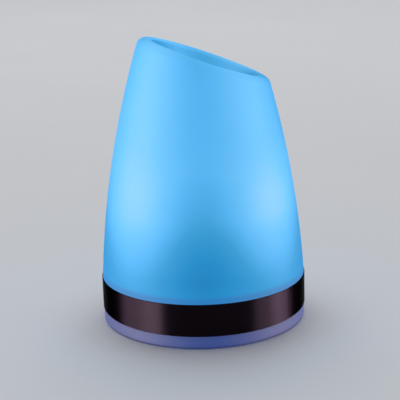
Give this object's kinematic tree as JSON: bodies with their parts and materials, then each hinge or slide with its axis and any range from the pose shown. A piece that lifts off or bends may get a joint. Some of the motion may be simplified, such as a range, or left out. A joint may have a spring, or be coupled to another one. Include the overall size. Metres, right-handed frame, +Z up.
{
  "type": "rechargeable smart mood lamp",
  "caption": "Cordless app-controlled table lamp: milky conical shade cut off at a slant with a dished top, on a translucent base with a polished metal band.",
  "frame": {"origin": "on the floor, on the lamp's vertical axis", "axes": "+Z up; the slanted top falls towards +X; charging port and power button are at the back, towards +Y"},
  "size_m": [0.1108, 0.1108, 0.1522],
  "materials": {
    "shade_plastic": "satin",
    "polished_band": "polished",
    "glow_base": "satin",
    "soft_rubber": "matte",
    "fastener_steel": "plated",
    "white_plastic": "matte",
    "pillar_aluminium": "anodised",
    "white_board": "solder mask",
    "led_package": "gloss",
    "green_board": "solder mask",
    "shield_metal": "tin plated",
    "chip_moulding": "matte",
    "capacitor_can": "satin",
    "connector_plastic": "matte",
    "wire_white": "satin",
    "lead_red": "satin",
    "lead_black": "satin",
    "cell_wrap": "shrink film",
    "cradle_plastic": "matte",
    "strap_fabric": "woven",
    "trim_plastic": "satin",
    "clear_plastic": "gloss"
  },
  "bodies": {
    "lamp": {"shade": "shade_plastic", "metal_band": "polished_band", "base_tub": "glow_base", "foot_pads": "soft_rubber", "shade_gasket": "soft_rubber", "base_screws": "fastener_steel", "tray_screws": "fastener_steel", "pillar_screws": "fastener_steel", "led_board_screws": "fastener_steel", "board_screws": "fastener_steel", "cradle_screws": "fastener_steel", "hinge_pin": "fastener_steel", "button_spring": "fastener_steel", "light_tray": "white_plastic", "pillar_cap": "white_plastic", "led_pillar": "pillar_aluminium", "led_board_1": "white_board", "led_board_2": "white_board", "led_board_3": "white_board", "led_board_4": "white_board", "ring_board": "white_board", "leds_1": "led_package", "leds_2": "led_package", "leds_3": "led_package", "leds_4": "led_package", "charge_led": "led_package", "main_board": "green_board", "wireless_module": "green_board", "module_shield": "shield_metal", "charging_socket": "shield_metal", "battery_tabs": "shield_metal", "driver_chips": "chip_moulding", "charge_chip": "chip_moulding", "inductor": "chip_moulding", "tact_switch": "chip_moulding", "capacitors": "capacitor_can", "led_connector": "connector_plastic", "battery_connector": "connector_plastic", "link_headers": "connector_plastic", "led_wires": "wire_white", "battery_lead_positive": "lead_red", "battery_lead_negative": "lead_black", "battery_cell": "cell_wrap", "battery_cradle": "cradle_plastic", "battery_strap": "strap_fabric", "port_frame": "trim_plastic", "light_pipe": "clear_plastic"},
    "cover": {"port_cover": "trim_plastic"},
    "button": {"power_button": "trim_plastic", "switch_plunger": "white_plastic"}
  },
  "joints": [
    {"name": "cover_hinge", "type": "hinge", "parent": "lamp", "child": "cover", "pos_m": [-0.02067, 0.04967, 0.01543], "axis": [0, 0, 1], "range_deg": [0, 100]},
    {"name": "button_press", "type": "slide", "parent": "lamp", "child": "button", "axis": [-0.2419, -0.9703, 0], "range_m": [0, 0.0008], "stiffness_N_per_m": 800, "springref_m": -0.0006, "deforming": ["button_spring"]}
  ]
}
